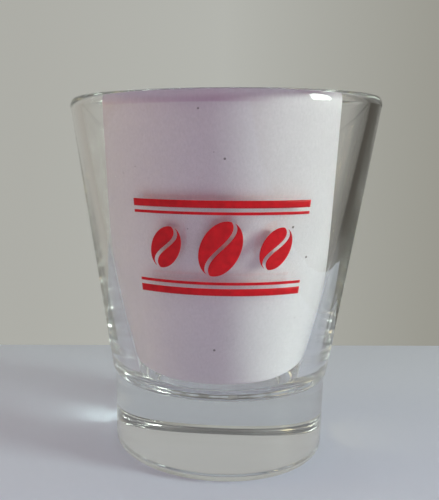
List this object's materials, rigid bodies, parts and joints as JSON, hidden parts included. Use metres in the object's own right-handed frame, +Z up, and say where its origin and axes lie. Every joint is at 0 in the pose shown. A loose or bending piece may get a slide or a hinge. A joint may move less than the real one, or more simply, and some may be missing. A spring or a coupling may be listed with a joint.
{
  "type": "coffee glass",
  "caption": "Tapered pressed-glass coffee tumbler with a solid stepped foot, a red fired print and a loose curled paper card standing inside.",
  "frame": {"origin": "centre of the face that the glass stands on", "axes": "+Z up along the glass's axis, the print faces -Y, +X to the right of someone who faces the print"},
  "size_m": [0.062, 0.062, 0.0728],
  "materials": {
    "clear_glass": "fire-polished",
    "red_ink": "fired screen print",
    "white_paper": "uncoated"
  },
  "bodies": {
    "glass": {"glass_body": "clear_glass", "print_upper_fine_rule": "red_ink", "print_upper_broad_rule": "red_ink", "print_lower_fine_rule": "red_ink", "print_lower_broad_rule": "red_ink", "print_left_bean_left_half": "red_ink", "print_left_bean_right_half": "red_ink", "print_middle_bean_left_half": "red_ink", "print_middle_bean_right_half": "red_ink", "print_right_bean_left_half": "red_ink", "print_right_bean_right_half": "red_ink"},
    "card": {"paper_card": "white_paper"}
  },
  "joints": [
    {"name": "card_lift", "type": "slide", "parent": "glass", "child": "card", "axis": [0, 0, 1], "range_m": [0, 0.056]}
  ]
}
